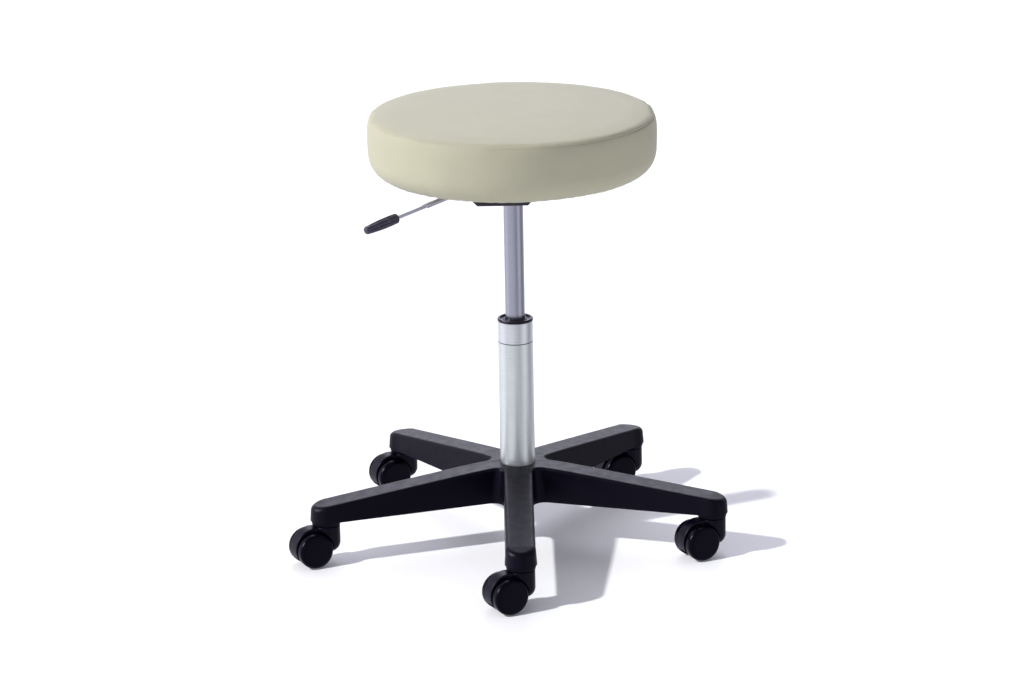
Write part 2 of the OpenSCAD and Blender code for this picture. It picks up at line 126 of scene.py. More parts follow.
def add_sun(name, towards, strength, spread, lit, blocking=None):
    """A distant light in the direction towards, spread over some degrees, on the lit objects only."""
    data = bpy.data.lights.new(name, "SUN")
    data.energy = strength
    data.angle = math.radians(spread)
    light = bpy.data.objects.new(name, data)
    scene.collection.objects.link(light)
    light.rotation_euler = (-Vector(towards)).to_track_quat("-Z", "Y").to_euler()
    light.light_linking.receiver_collection = group(name + "_lit", lit)
    if blocking:
        light.light_linking.blocker_collection = group(name + "_blocking", blocking)


def group(name, things):
    made = bpy.data.collections.new(name)
    for thing in things:
        made.objects.link(thing)
    return made


def light_studio(floor):
    """A soft key for the object and a crisper one for the floor, where the high seat throws no shadow."""
    shown = [o for o in scene.objects if o.type == "MESH" and o is not floor]
    polished = ("outer_tube_satin", "trim_band_satin", "gas_spring_tube")
    on_floor = [o for o in shown if o.get("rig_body") not in ("seat", "lever", "spindle", "valve_pin")]
    add_sun("key", KEY_FROM, KEY, KEY_SPREAD, [o for o in shown if o.name not in polished])
    add_sun("floor_key", FLOOR_KEY_FROM, FLOOR_KEY, FLOOR_KEY_SPREAD, [floor], on_floor)


def add_world():
    """A white studio whose walls are brighter to the left and behind, and even overhead."""
    world = bpy.data.worlds.new("studio")
    scene.world = world
    world.use_nodes = True
    nodes, links = world.node_tree.nodes, world.node_tree.links

    def maths(operation, first, second):
        made = nodes.new("ShaderNodeMath")
        made.operation = operation
        for socket, value in zip(made.inputs, (first, second)):
            if isinstance(value, (int, float)):
                socket.default_value = value
            else:
                links.new(value, socket)
        return made.outputs["Value"]

    split = nodes.new("ShaderNodeSeparateXYZ")
    links.new(nodes.new("ShaderNodeTexCoord").outputs["Generated"], split.inputs["Vector"])
    east, north, up = split.outputs
    turn = maths("ARCTAN2", east, maths("MULTIPLY", north, -1))
    share = maths("ADD", maths("DIVIDE", turn, 2 * math.pi), 0.5)

    def by_direction(levels):
        ramp = nodes.new("ShaderNodeValToRGB")
        links.new(share, ramp.inputs["Fac"])
        stops = ramp.color_ramp.elements
        while len(stops) < len(levels):
            stops.new(0.5)
        for stop, (degrees, level) in zip(stops, levels):
            stop.position = degrees / 360 + 0.5
            stop.color = (level, level, level, 1)
        return ramp.outputs["Color"]

    def by_height(low, high):
        rise = nodes.new("ShaderNodeMapRange")
        rise.interpolation_type = "SMOOTHSTEP"
        rise.inputs["From Min"].default_value = low
        rise.inputs["From Max"].default_value = high
        links.new(up, rise.inputs["Value"])
        return rise.outputs["Result"]

    blend = nodes.new("ShaderNodeMix")
    links.new(by_height(0.25, 0.85), blend.inputs["Factor"])
    links.new(by_direction(WALLS), blend.inputs["A"])
    blend.inputs["B"].default_value = CEILING
    glow = maths("MULTIPLY", by_direction(GLOW), by_height(0.1, 0.6))
    background = nodes["Background"]
    background.inputs["Color"].default_value = (*AIR, 1)
    links.new(maths("ADD", blend.outputs["Result"], glow), background.inputs["Strength"])


def add_floor(look):
    half = 40  # m
    mesh = bpy.data.meshes.new("floor")
    corners = [(-half, -half, 0), (half, -half, 0), (half, half, 0), (-half, half, 0)]
    mesh.from_pydata(corners, [], [(0, 1, 2, 3)])
    floor = bpy.data.objects.new("floor", mesh)
    floor.data.materials.append(look)
    scene.collection.objects.link(floor)
    floor.visible_glossy = False
    return floor


# ---------------------------------------------------------------- materials

class Look:
    """A node material with short ways to add noise, bumps and mixes in object coordinates."""

    def __init__(self, name, colour, roughness, metallic=0.0, **more):
        self.material = bpy.data.materials.new(name)
        self.material.use_nodes = True
        self.tree = self.material.node_tree
        self.shader = self.tree.nodes["Principled BSDF"]
        self.shader.inputs["Base Color"].default_value = (*colour, 1)
        self.shader.inputs["Roughness"].default_value = roughness
        self.shader.inputs["Metallic"].default_value = metallic
        for socket, value in more.items():
            self.shader.inputs[socket.replace("_", " ")].default_value = value
        self.material.diffuse_color = (*colour, 1)
        self.coordinates = self.tree.nodes.new("ShaderNodeTexCoord").outputs["Object"]
        self.height = None

    def node(self, kind, **values):
        made = self.tree.nodes.new(kind)
        for key, value in values.items():
            setattr(made, key, value)
        return made

    def link(self, source, target):
        self.tree.links.new(source, target)

    def stretched(self, scale):
        """Object coordinates multiplied by scale, an (x, y, z)."""
        mapping = self.node("ShaderNodeMapping")
        mapping.inputs["Scale"].default_value = scale
        self.link(self.coordinates, mapping.inputs["Vector"])
        return mapping.outputs["Vector"]

    def noise(self, size, detail=3.0, stretch=(1, 1, 1), rough=0.55):
        """Noise with features about size millimetres across."""
        texture = self.node("ShaderNodeTexNoise")
        texture.inputs["Scale"].default_value = 1 / (size * MM)
        texture.inputs["Detail"].default_value = detail
        texture.inputs["Roughness"].default_value = rough
        self.link(self.stretched(stretch), texture.inputs["Vector"])
        return texture.outputs["Fac"]

    def cells(self, size, feature="F1", randomness=1.0):
        """Cells about size millimetres across: the distance to each one's middle or edge."""
        texture = self.node("ShaderNodeTexVoronoi", feature=feature)
        texture.inputs["Scale"].default_value = 1 / (size * MM)
        texture.inputs["Randomness"].default_value = randomness
        self.link(self.coordinates, texture.inputs["Vector"])
        return texture.outputs["Distance"]

    def ramp(self, source, low, high, to_low=0.0, to_high=1.0):
        """source, from low to high, spread over to_low to to_high and clamped there."""
        spread = self.node("ShaderNodeMapRange")
        for socket, value in zip(("From Min", "From Max", "To Min", "To Max"), (low, high, to_low, to_high)):
            spread.inputs[socket].default_value = value
        self.link(source, spread.inputs["Value"])
        return spread.outputs["Result"]

    def colour_between(self, factor, first, second):
        mix = self.node("ShaderNodeMix", data_type="RGBA")
        for socket, value in ((mix.inputs[6], first), (mix.inputs[7], second)):
            if isinstance(value, tuple):
                socket.default_value = (*value, 1)
            else:
                self.link(value, socket)
        self.link(factor, mix.inputs[0])
        return mix.outputs[2]

    def colour(self, source):
        self.link(source, self.shader.inputs["Base Color"])
        return self

    def roughness(self, source):
        self.link(source, self.shader.inputs["Roughness"])
        return self

    def bump(self, source, depth, strength=1.0):
        """Raises the surface by depth millimetres where source is 1. Bumps add up."""
        made = self.node("ShaderNodeBump")
        made.inputs["Distance"].default_value = depth * MM
        made.inputs["Strength"].default_value = strength
        self.link(source, made.inputs["Height"])
        if self.height is not None:
            self.link(self.height, made.inputs["Normal"])
        self.height = made.outputs["Normal"]
        self.link(self.height, self.shader.inputs["Normal"])
        return self

    def along_z(self, anisotropy):
        """Brushed round the vertical axis, so that highlights draw out along it."""
        tangent = self.node("ShaderNodeTangent", direction_type="RADIAL", axis="Z")
        self.link(tangent.outputs["Tangent"], self.shader.inputs["Tangent"])
        self.shader.inputs["Anisotropic"].default_value = anisotropy
        self.shader.inputs["Anisotropic Rotation"].default_value = 0.25
        return self


def shade(colour, factor):
    return tuple(min(1.0, c * factor) for c in colour)


def vinyl_look():
    base = (0.418, 0.404, 0.296)
    look = Look("vinyl", base, 0.4, IOR=1.16)
    clouds = look.noise(70, 2.0)
    fine = look.noise(2.2, 4.0)
    tone = look.colour_between(look.ramp(clouds, 0.3, 0.7), shade(base, 0.965), shade(base, 1.035))
    pores = look.cells(0.95, "DISTANCE_TO_EDGE")
    hollow_and_shade = look.ramp(pores, 0.0, 0.16)
    # Painted shade: the colour darkens to nine tenths along the grain's hollows, where the bump dips.
    look.colour(look.colour_between(look.ramp(hollow_and_shade, 0, 1, 0.0, 1.0), shade(base, 0.90), tone))
    look.roughness(look.ramp(fine, 0.3, 0.7, 0.37, 0.46))
    look.bump(hollow_and_shade, 0.05)
    look.bump(look.noise(0.45, 3.0), 0.015)
    look.bump(look.noise(9, 2.0), 0.05)
    return look.material


def moulded_look(name, colour, rough, grain, depth, gloss=1.5):
    """Moulded plastic with a fine spark-eroded grain and a faint greying in patches. gloss is its IOR."""
    look = Look(name, colour, rough, IOR=gloss, Specular_Tint=(0.80, 0.74, 1.0, 1))
    patches = look.noise(45, 4.0)
    look.colour(look.colour_between(look.ramp(patches, 0.35, 0.7), colour, shade(colour, 1.25)))
    look.roughness(look.ramp(look.noise(12, 5.0), 0.3, 0.7, rough - 0.05, rough + 0.07))
    look.bump(look.noise(grain, 4.0, rough=0.7), depth)
    return look.material


def turned_metal_look(name, colour, rough, lines, depth, anisotropy=0.55, spread=0.06):
    """Metal turned or polished on a lathe: fine rings round the vertical axis."""
    look = Look(name, colour, rough, metallic=1.0).along_z(anisotropy)
    rings = look.noise(lines, 3.0, stretch=(0.02, 0.02, 1.0))
    smudges = look.noise(30, 4.0)
    look.colour(look.colour_between(look.ramp(rings, 0.3, 0.7), shade(colour, 0.94), shade(colour, 1.05)))
    look.roughness(look.ramp(smudges, 0.3, 0.75, rough - spread / 2, rough + spread))
    look.bump(rings, depth)
    return look.material


def plated_look(name, colour, rough, metallic=1.0, grain=1.6, depth=0.01):
    """Plated or bare steel: faint cloudy tone, small scratches."""
    look = Look(name, colour, rough, metallic=metallic)
    clouds = look.noise(8, 4.0)
    scratches = look.noise(grain, 4.0, stretch=(1.0, 0.08, 1.0))
    look.colour(look.colour_between(look.ramp(clouds, 0.3, 0.7), shade(colour, 0.85), shade(colour, 1.1)))
    look.roughness(look.ramp(scratches, 0.35, 0.7, rough - 0.06, rough + 0.12))
    look.bump(scratches, depth)
    return look.material


def powder_coat_look(name, colour, rough):
    """Black powder coat with its orange peel."""
    look = Look(name, colour, rough, Specular_IOR_Level=0.5)
    look.roughness(look.ramp(look.noise(6, 3.0), 0.3, 0.7, rough - 0.06, rough + 0.08))
    look.bump(look.noise(0.9, 2.0), 0.03)
    return look.material


def plywood_look():
    pale, dark = (0.60, 0.51, 0.38), (0.42, 0.34, 0.24)
    look = Look("plywood", pale, 0.62)
    grain = look.noise(5, 6.0, stretch=(0.06, 1.0, 1.0), rough=0.65)
    rings = look.noise(28, 3.0, stretch=(0.12, 1.0, 0.3))
    plies = look.node("ShaderNodeTexWave", bands_direction="Z", wave_profile="SIN")
    plies.inputs["Scale"].default_value = 1 / (2.8 * MM) / (2 * math.pi) * 2
    plies.inputs["Distortion"].default_value = 0.3
    look.link(look.coordinates, plies.inputs["Vector"])
    face = look.colour_between(look.ramp(grain, 0.35, 0.65), dark, pale)
    face = look.colour_between(look.ramp(rings, 0.35, 0.65, 0.25, 0.8), shade(dark, 1.2), face)
    layers = look.ramp(plies.outputs["Fac"], 0.2, 0.8, 0.55, 1.0)
    look.colour(look.colour_between(layers, shade(dark, 0.8), face))
    look.roughness(look.ramp(grain, 0.3, 0.7, 0.55, 0.75))
    look.bump(grain, 0.08)
    return look.material


def foam_look():
    base = (0.86, 0.80, 0.56)
    look = Look("foam", base, 0.95, Specular_IOR_Level=0.1)
    cells = look.cells(1.3)
    look.colour(look.colour_between(look.ramp(cells, 0.1, 0.6), base, shade(base, 0.72)))
    look.bump(cells, 0.5)
    return look.material


def rubber_look():
    look = Look("black_rubber", (0.022, 0.022, 0.024), 0.75, Specular_IOR_Level=0.3)
    look.roughness(look.ramp(look.noise(7, 4.0), 0.3, 0.7, 0.65, 0.85))
    look.bump(look.noise(0.6, 4.0), 0.03)
    return look.material


def floor_look():
    return Look("floor", (0.90, 0.90, 0.91), 0.6, Specular_IOR_Level=0.1).material


# Each material's colour and roughness, then the size and depth of its grain and its gloss
MOULDED = {
    "black_nylon": ((0.0006, 0.0003, 0.0030), 0.40, 0.55, 0.03, 1.25),
    "black_plastic": ((0.004, 0.004, 0.007), 0.30, 0.4, 0.012, 1.4),
    "caster_plastic": ((0.0006, 0.0003, 0.0030), 0.38, 0.5, 0.02, 1.28),
    "wheel_nylon": ((0.0010, 0.0008, 0.0028), 0.20, 0.5, 0.008, 1.20),
    "grip_plastic": ((0.030, 0.028, 0.040), 0.22, 0.45, 0.004, 1.6),
    "natural_plastic": ((0.62, 0.61, 0.54), 0.45, 0.8, 0.01),
}
# Each one's colour and roughness, the spacing and depth of its lines, its anisotropy and spread
TURNED = {
    "satin_tube": ((0.925, 0.975, 0.92), 0.40, 0.5, 0.006, 0.75),
    "satin_band": ((0.89, 0.91, 0.895), 0.34, 0.35, 0.005, 0.7),
    "bright_tube": ((0.48, 0.485, 0.54), 0.24, 0.3, 0.002, 0.7),
    "chrome_rod": ((0.72, 0.72, 0.75), 0.08, 0.3, 0.001, 0.2, 0.02),
}
# Each one's colour and roughness, and how metallic it is if it isn't bare metal
PLATED = {
    "lever_steel": ((0.44, 0.45, 0.53), 0.40, 0.3),
    "zinc_steel": ((0.66, 0.66, 0.67), 0.32),
    "bearing_steel": ((0.70, 0.70, 0.72), 0.14),
    "dark_steel": ((0.28, 0.28, 0.30), 0.36),
    "brass_cage": ((0.78, 0.58, 0.26), 0.30),
}


def make_looks():
    """One material for each of the record's material slots."""
    made = {
        "vinyl": vinyl_look(),
        "foam": foam_look(),
        "plywood": plywood_look(),
        "black_rubber": rubber_look(),
        "black_steel": powder_coat_look("black_steel", (0.014, 0.014, 0.016), 0.36),
    }
    for kind, table in ((moulded_look, MOULDED), (turned_metal_look, TURNED), (plated_look, PLATED)):
        made.update({name: kind(name, *values) for name, values in table.items()})
    return made


looks = make_looks()
slot_of = {part["node"]: part["material_slot"] for part in frame["record"]["subparts"]}


def dress_cad_nodes():
    """Gives every CAD node the material of its slot."""
    for node, thing in frame["nodes"].items():
        if not thing.material_slots:
            thing.data.materials.append(looks[slot_of[node]])
        for slot in thing.material_slots:
            slot.link = "OBJECT"
            slot.material = looks[slot_of[node]]


# ---------------------------------------------------------------- mesh helpers

def soft_corners(corners, closed=False, steps=5):
    """A run of points from corners (x, y, radius), where each corner with a radius becomes an arc."""
    points = []
    count = len(corners)
    for i, (x, y, radius) in enumerate(corners):
        if radius == 0 or (not closed and i in (0, count - 1)):
            points.append((x, y))
            continue
        here = Vector((x, y))
        before = (Vector(corners[i - 1][:2]) - here).normalized()
        after = (Vector(corners[(i + 1) % count][:2]) - here).normalized()
        half = before.angle(after) / 2
        middle = here + (before + after).normalized() * (radius / math.sin(half))
        start = here + before * (radius / math.tan(half)) - middle
        end = here + after * (radius / math.tan(half)) - middle
        first = math.atan2(start.y, start.x)
        sweep = (math.atan2(end.y, end.x) - first + math.pi) % (2 * math.pi) - math.pi
        for s in range(steps + 1):
            angle = first + sweep * s / steps
            points.append((middle.x + radius * math.cos(angle), middle.y + radius * math.sin(angle)))
    return points


def grid_faces(rings, closed):
    """Quads between rings of point numbers, and triangles where a ring is one point."""
    faces = []
    pairs = list(zip(rings, rings[1:]))
    if closed:
        pairs.append((rings[-1], rings[0]))
    for low, high in pairs:
        steps = max(len(low), len(high))
        for i in range(steps):
            j = (i + 1) % steps
            corners = [low[i % len(low)], low[j % len(low)], high[j % len(high)], high[i % len(high)]]
            faces.append(list(dict.fromkeys(corners)))
    return faces


def revolve(profile, steps=96, closed=False):
    """Points and faces of a surface of revolution about Z. The profile is a run of (radius, height)."""
    points, rings = [], []
    for radius, height in profile:
        if radius < 1e-6:
            rings.append([len(points)])
            points.append((0, 0, height))
            continue
        rings.append(list(range(len(points), len(points) + steps)))
        points += [
            (radius * math.cos(2 * math.pi * i / steps), radius * math.sin(2 * math.pi * i / steps), height)
            for i in range(steps)
        ]
    return points, grid_faces(rings, closed)


def make_object(name, points, faces, look=None):
    """A mesh object from points in millimetres, with its faces turned outwards."""
    mesh = bpy.data.meshes.new(name)
    mesh.from_pydata([Vector(p) * MM for p in points], [], faces)
    work = bmesh.new()
    work.from_mesh(mesh)
    bmesh.ops.recalc_face_normals(work, faces=work.faces)
    work.to_mesh(mesh)
    work.free()
    thing = bpy.data.objects.new(name, mesh)
    scene.collection.objects.link(thing)
    if look:
        mesh.materials.append(looks[look])
    return thing


def shade_smooth(thing, sharp=35):
    """Smooth shading, with edges sharper than this many degrees kept crisp."""
    for face in thing.data.polygons:
        face.use_smooth = True
    thing.data.set_sharp_from_angle(angle=math.radians(sharp))


def keep_modified(thing):
    """Makes a piece's modified mesh its own mesh."""
    bpy.context.view_layer.update()
    evaluated = thing.evaluated_get(bpy.context.evaluated_depsgraph_get())
    mesh = bpy.data.meshes.new_from_object(evaluated)
    thing.modifiers.clear()
    old = thing.data
    thing.data = mesh
    bpy.data.meshes.remove(old)
    mesh.name = thing.name


def add_remesh(thing, size):
    """A voxel remesh with cells of size millimetres, left on the piece's modifiers."""
    step = thing.modifiers.new("remesh", "REMESH")
    step.mode = "VOXEL"
    step.voxel_size = size * MM


def combine(thing, other, operation):
    """Adds another object to a piece or takes it away, and removes the other object."""
    step = thing.modifiers.new("combine", "BOOLEAN")
    step.operation = operation
    step.solver = "EXACT"
    step.object = other
    keep_modified(thing)
    bpy.data.objects.remove(other)


def joined(shapes):
    """Several (points, faces) as one."""
    points, faces = [], []
    for more_points, more_faces in shapes:
        start = len(points)
        points += more_points
        faces += [[i + start for i in face] for face in more_faces]
    return points, faces


def placed(shape, matrix):
    """(points, faces) moved by a matrix."""
    points, faces = shape
    return [tuple(matrix @ Vector(p)) for p in points], faces


def block(corners):
    """A solid with six faces from its eight corners: four below, then the four above them."""
    return corners, [(0, 1, 2, 3), (4, 5, 6, 7), (0, 1, 5, 4), (1, 2, 6, 5), (2, 3, 7, 6), (3, 0, 4, 7)]


def finish_piece(thing, body, nodes=(), sharp=35):
    """Shades a piece, rides it on its body and hides the CAD nodes it stands for."""
    shade_smooth(thing, sharp)
    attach(thing, body)
    if nodes:
        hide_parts(*nodes)
    return thing


def lathe_piece(name, body, slot, corners, nodes=(), steps=128, sharp=35):
    """A closed ring-shaped piece about the column's axis, from its section's corners."""
    points, faces = revolve(soft_corners(corners, closed=True), steps, closed=True)
    return finish_piece(make_object(name, points, faces, slot), body, nodes, sharp)


# ---------------------------------------------------------------- column

def add_column():
    tube_low, tube_high = node_box("outer_tube")
    band_low, band_high = node_box("trim_band")
    hub_top = node_box("base_star")[1].z
    race_z = node_box("lower_race")[0].z
    rod_r = node_box("piston_rod")[1].x
    r = tube_high.x
    inner = node_box("guide_bush")[1].x
    taper_top, taper_low, taper_h = r - 0.3, r - 1.2, 7.0
    groove = 1.0
    lathe_piece("outer_tube_satin", "base", "satin_tube", [
        (rod_r + 0.05, tube_low.z, 0), (taper_low, tube_low.z, 0.6), (taper_top, hub_top, 0),
        (r, hub_top + taper_h, 5), (r, band_low.z - groove, 0.25),
        (r - 0.6, band_low.z - groove, 0.1), (r - 0.6, tube_high.z, 0), (inner, tube_high.z, 0),
        (inner, race_z, 0), (rod_r + 0.05, race_z, 0)], ["outer_tube"])
    lathe_piece("trim_band_satin", "base", "satin_band", [
        (r - 0.5, band_low.z, 0), (r, band_low.z, 0.3), (r, band_high.z, 0.3), (r - 0.5, band_high.z, 0)],
        ["trim_band"])
    # Painted shade: a black ring fills the groove under the band to darken it.
    lathe_piece("trim_band_groove_shade", "base", "black_plastic", [
        (r - 0.6, band_low.z - groove, 0), (r - 0.1, band_low.z - groove, 0), (r - 0.1, band_low.z, 0),
        (r - 0.6, band_low.z, 0)])
    collar_low, collar_high = node_box("top_collar")
    spring_r = node_box("pressure_tube")[1].x
    lip, lip_top = r + 0.4, collar_high.z + 0.8
    lathe_piece("top_collar_ring", "base", "black_plastic", [
        (spring_r + 3, collar_low.z, 0), (inner, collar_low.z, 0), (inner, tube_high.z, 0),
        (lip, tube_high.z, 0.4), (lip, lip_top, 1.8), (r - 3.0, lip_top, 0.8),
        (r - 4.4, collar_high.z - 2, 0.5), (spring_r + 3, collar_high.z - 2, 0.5),
        (spring_r + 2.4, collar_high.z - 0.5, 0.5), (spring_r + 0.8, collar_high.z - 0.5, 0.5),
        (spring_r + 0.8, collar_low.z + 4, 0), (spring_r + 3, collar_low.z + 4, 0)], ["top_collar"])
    spring_low, spring_high = node_box("pressure_tube")
    bore = node_box("piston")[1].x + 0.05
    cone, pin_bore = 22, 4.05
    lathe_piece("gas_spring_tube", "seat", "bright_tube", [
        (bore, spring_low.z, 0), (spring_r, spring_low.z, 0.5), (spring_r, spring_high.z - cone, 1.5),
        (spring_r - 0.55, spring_high.z, 0.5), (pin_bore, spring_high.z, 0), (pin_bore, spring_high.z - 3, 0),
        (bore, spring_high.z - 3, 0)], ["pressure_tube"])


# ---------------------------------------------------------------- star base

LEG_EDGE_HALF = 20.4    # half the width of a leg where its top edge starts to round, at the hub
LEG_FOOT_HALF = 21.4    # half its width at the lower edge
LEG_TAPER = 0.02        # how much narrower its top is at the end
CORNER_TOP_R = 11.5     # radius of the inner corners at the top
CORNER_FOOT_R = 16.0    # and at the lower edge
TOP_EDGE_R = 4.2        # rounding of the top edge along a leg
END_EDGE_R = 8.5        # and at the leg's end
WALL = 4.0
STEM_BORE_R = 5.55      # the casters' stems
AXLE_BORE_R = 4.05      # and their axles


class Star:
    """The base's shape: plan loops with the same count of points at every height."""

    def __init__(self):
        low, high = node_box("base_star")
        swivel_low, swivel_high = node_box("caster_1_stem")
        self.reach = -(swivel_low.y + swivel_high.y) / 2
        self.ring_low = low.z
        self.low = low.z + 5.5
        self.hub_top = high.z
        self.end_top = self.low + 25
        self.flat = 46.0
        self.half_angle = math.pi / LEGS

    def top(self, x):
        """Height of the top at a distance x along a leg: level, a soft bend, then a straight fall."""
        slope = (self.hub_top - self.end_top) / (self.reach - self.flat)
        bend = 14.0
        past = (x - self.flat) / bend
        ramp = bend * (np.log1p(np.exp(-np.abs(past))) + np.maximum(past, 0))
        return self.hub_top - slope * ramp

    def loop(self, half, corner_r, end_r, taper):
        """Plan points (n, 2), with each one's distance along its own leg."""
        corner_steps, side_steps, end_steps = 10, 16, 26
        tangent = (half + corner_r) / math.tan(self.half_angle)
        middle = (half + corner_r) / math.sin(self.half_angle)
        points, along = [], []
        for k in range(LEGS):
            turn = math.radians(-90 + 360 / LEGS * k)
            for i in range(corner_steps):
                angle = math.radians(270) - self.half_angle
                angle -= (angle - math.radians(90) - self.half_angle) * i / corner_steps
                x, y = middle + corner_r * math.cos(angle), corner_r * math.sin(angle)
                bisector = turn - self.half_angle
                points.append((x * math.cos(bisector) - y * math.sin(bisector),
                               x * math.sin(bisector) + y * math.cos(bisector)))
                along.append(math.hypot(x, y) * math.cos(self.half_angle))
            spread = min(1.0, half / end_r)
            start = math.asin(spread)
            side_end = self.reach - end_r * math.cos(start)
            side = [tangent + (side_end - tangent) * i / side_steps for i in range(side_steps)]
            leg = [(x, -half) for x in side]
            for i in range(end_steps + 1):
                angle = start - math.pi + (2 * math.pi - 2 * start) * i / end_steps
                leg.append((self.reach + end_r * math.cos(angle), end_r * math.sin(angle)))
            leg += [(x, half) for x in reversed(side)]
            for x, y in leg:
                y *= 1 - taper * min(1, max(0, (x - self.flat) / (self.reach - self.flat)))
                points.append((x * math.cos(turn) - y * math.sin(turn),
                               x * math.sin(turn) + y * math.cos(turn)))
                along.append(x)
        return np.array(points), np.array(along)

    def layer(self, share, inset, drop_share):
        """One loop of 3-D points: share goes from the foot to the top edge, inset and drop round the edge."""
        half = LEG_FOOT_HALF + (LEG_EDGE_HALF - LEG_FOOT_HALF) * share
        corner = CORNER_FOOT_R + (CORNER_TOP_R - CORNER_FOOT_R) * share
        flat, along = self.loop(half, corner, half + 1.0, LEG_TAPER * share)
        near_end = np.clip((along - self.reach + 12) / 30, 0, 1)
        edge = TOP_EDGE_R + (END_EDGE_R - TOP_EDGE_R) * near_end ** 2 * (3 - 2 * near_end)
        ahead = np.roll(flat, -1, 0) - np.roll(flat, 1, 0)
        inward = np.stack([-ahead[:, 1], ahead[:, 0]], 1)
        inward /= np.linalg.norm(inward, axis=1)[:, None]
        plan = flat + inward * (edge * inset)[:, None]
        height = self.top(along) - edge * drop_share
        if share < 1:
            height = self.low + (self.top(along) - edge - self.low) * share
        return np.column_stack([plan, height]), along

    def solid(self):
        """Points and faces of the star, closed below and above along the middle of each leg."""
        layers = [self.layer(share, 0, 1)[0] for share in (0, 0.02, 0.2, 0.4, 0.6, 0.8, 0.97)]
        turns = [math.radians(a) for a in range(0, 91, 15)]
        layers += [self.layer(1, 1 - math.cos(t), 1 - math.sin(t))[0] for t in turns]
        spine, along = self.loop(0.02, 0.02, 0.021, 0)
        spine_top = np.column_stack([spine, self.top(along)])
        spine_low = np.column_stack([spine, np.full(len(spine), self.low)])
        last, first = layers[-1], layers[0]
        for share in (0.12, 0.4, 0.7):
            level = last * (1 - share) + spine_top * share
            layers.append(level)
        layers.append(spine_top)
        below = [spine_low] + [first * share + spine_low * (1 - share) for share in (0.4, 0.8)]
        layers = below + layers
        count = len(spine)
        points = [tuple(p) for level in layers for p in level]
        rings = [list(range(i * count, (i + 1) * count)) for i in range(len(layers))]
        return points, grid_faces(rings, closed=False)

    def pockets(self):
        """The hollows under the legs, between a middle rib and ribs across."""
        first, last, pitch, rib = 36.0, self.reach - 24, 56.0, 3.0
        low_half, top_half = LEG_FOOT_HALF - WALL, LEG_EDGE_HALF - WALL - 1.2
        shapes = []
        starts = [first + pitch * i for i in range(5) if first + pitch * i < last - 10]
        for k in range(LEGS):
            turn = turn_about("Z", -90 + 360 / LEGS * k)
            for number, start in enumerate(starts):
                x0 = start + (rib if number else 0)
                x1 = starts[number + 1] if number + 1 < len(starts) else last
                for side in (-1, 1):
                    z0, z1 = self.top(x0) - WALL, self.top(x1) - WALL
                    low = self.low - 1
                    corners = [
                        (x0, side * rib / 2, low), (x1, side * rib / 2, low),
                        (x1, side * low_half, low), (x0, side * low_half, low),
                        (x0 + 0.6, side * (rib / 2 + 0.4), z0), (x1 - 0.6, side * (rib / 2 + 0.4), z1),
                        (x1 - 0.6, side * top_half * (1 - LEG_TAPER), z1), (x0 + 0.6, side * top_half, z0)]
                    shapes.append(placed(block(corners), turn))
        return shapes

    def places(self):
        """Where the casters stand."""
        return [turn_about("Z", -90 + 360 / LEGS * k) @ Vector((self.reach, 0, 0)) for k in range(LEGS)]


def welded(thing, distance=0.05):
    work = bmesh.new()
    work.from_mesh(thing.data)
    bmesh.ops.remove_doubles(work, verts=work.verts, dist=distance * MM)
    bmesh.ops.dissolve_degenerate(work, dist=distance * MM / 5, edges=work.edges)
    bmesh.ops.recalc_face_normals(work, faces=work.faces)
    work.to_mesh(thing.data)
    work.free()


def add_base(star):
    base = make_object("star_base", *star.solid(), "black_nylon")
    welded(base)
    ring_r = 20.5            # the boss round a caster's stem, under the leg's end
    ring = soft_corners([
        (0, star.ring_low, 0), (ring_r, star.ring_low, 0.8),
        (ring_r, star.low + 6, 0), (0, star.low + 6, 0)])
    rings = [placed(revolve(ring, 64), Matrix.Translation(p)) for p in star.places()]
    combine(base, make_object("rings", *joined(rings)), "UNION")
    bore_low, bore_top = star.ring_low - 1, node_box("caster_1_stem")[1].z + 1.5
    bore = [(0, bore_low), (STEM_BORE_R, bore_low), (STEM_BORE_R, bore_top), (0, bore_top)]
    tube_r = node_box("outer_tube")[1].x
    socket = [(0, star.ring_low - 1), (tube_r - 1.1, star.ring_low), (tube_r - 0.2, star.hub_top - 1.6),
              (tube_r + 0.9, star.hub_top - 1.5), (tube_r + 0.9, star.hub_top + 2), (0, star.hub_top + 2)]
    cuts = [placed(revolve(bore, 48), Matrix.Translation(p)) for p in star.places()]
    cuts.append(revolve(socket, 128))
    cuts += star.pockets()
    combine(base, make_object("cuts", *joined(cuts)), "DIFFERENCE")
    finish_piece(base, "base", ["base_star"], sharp=32)


# ---------------------------------------------------------------- casters

def add_casters(star):
    """Five twin-wheel casters that share their meshes. Local X is along the trail and Y along the axle."""
    axle = next(j for j in frame["joints"] if j["name"] == "wheel_1a_roll")
    swivel = next(j for j in frame["joints"] if j["name"] == "caster_1_swivel")
    centre, pivot = Vector(axle["pos_m"]) / MM, Vector(swivel["pos_m"]) / MM
    trail = (centre - pivot).to_2d()
    turn = Matrix.Rotation(math.atan2(trail.y, trail.x), 4, "Z")
    hub = Vector((trail.length, 0, centre.z))
    top = node_box("caster_1_body")[1].z
    hood = hood_mesh(hub, top)
    wheel = wheel_mesh(centre.z)
    for k, place in enumerate(star.places(), 1):
        frame_at = Matrix.Translation(place * MM) @ turn
        body = f"caster_{k}"
        add_copy(hood, f"caster_{k}_hood", frame_at, body, [f"caster_{k}_body"])
        for side, spin in (("a", -90), ("b", 90)):
            at = frame_at @ Matrix.Translation(hub * MM) @ turn_about("X", spin)
            add_copy(wheel, f"caster_{k}_wheel_{side}_moulded", at, f"wheel_{k}{side}",
                     [f"caster_{k}_wheel_{side}"])


def add_copy(mesh, name, matrix, body, nodes):
    thing = bpy.data.objects.new(name, mesh)
    scene.collection.objects.link(thing)
    thing.matrix_world = matrix
    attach(thing, body)
    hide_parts(*nodes)


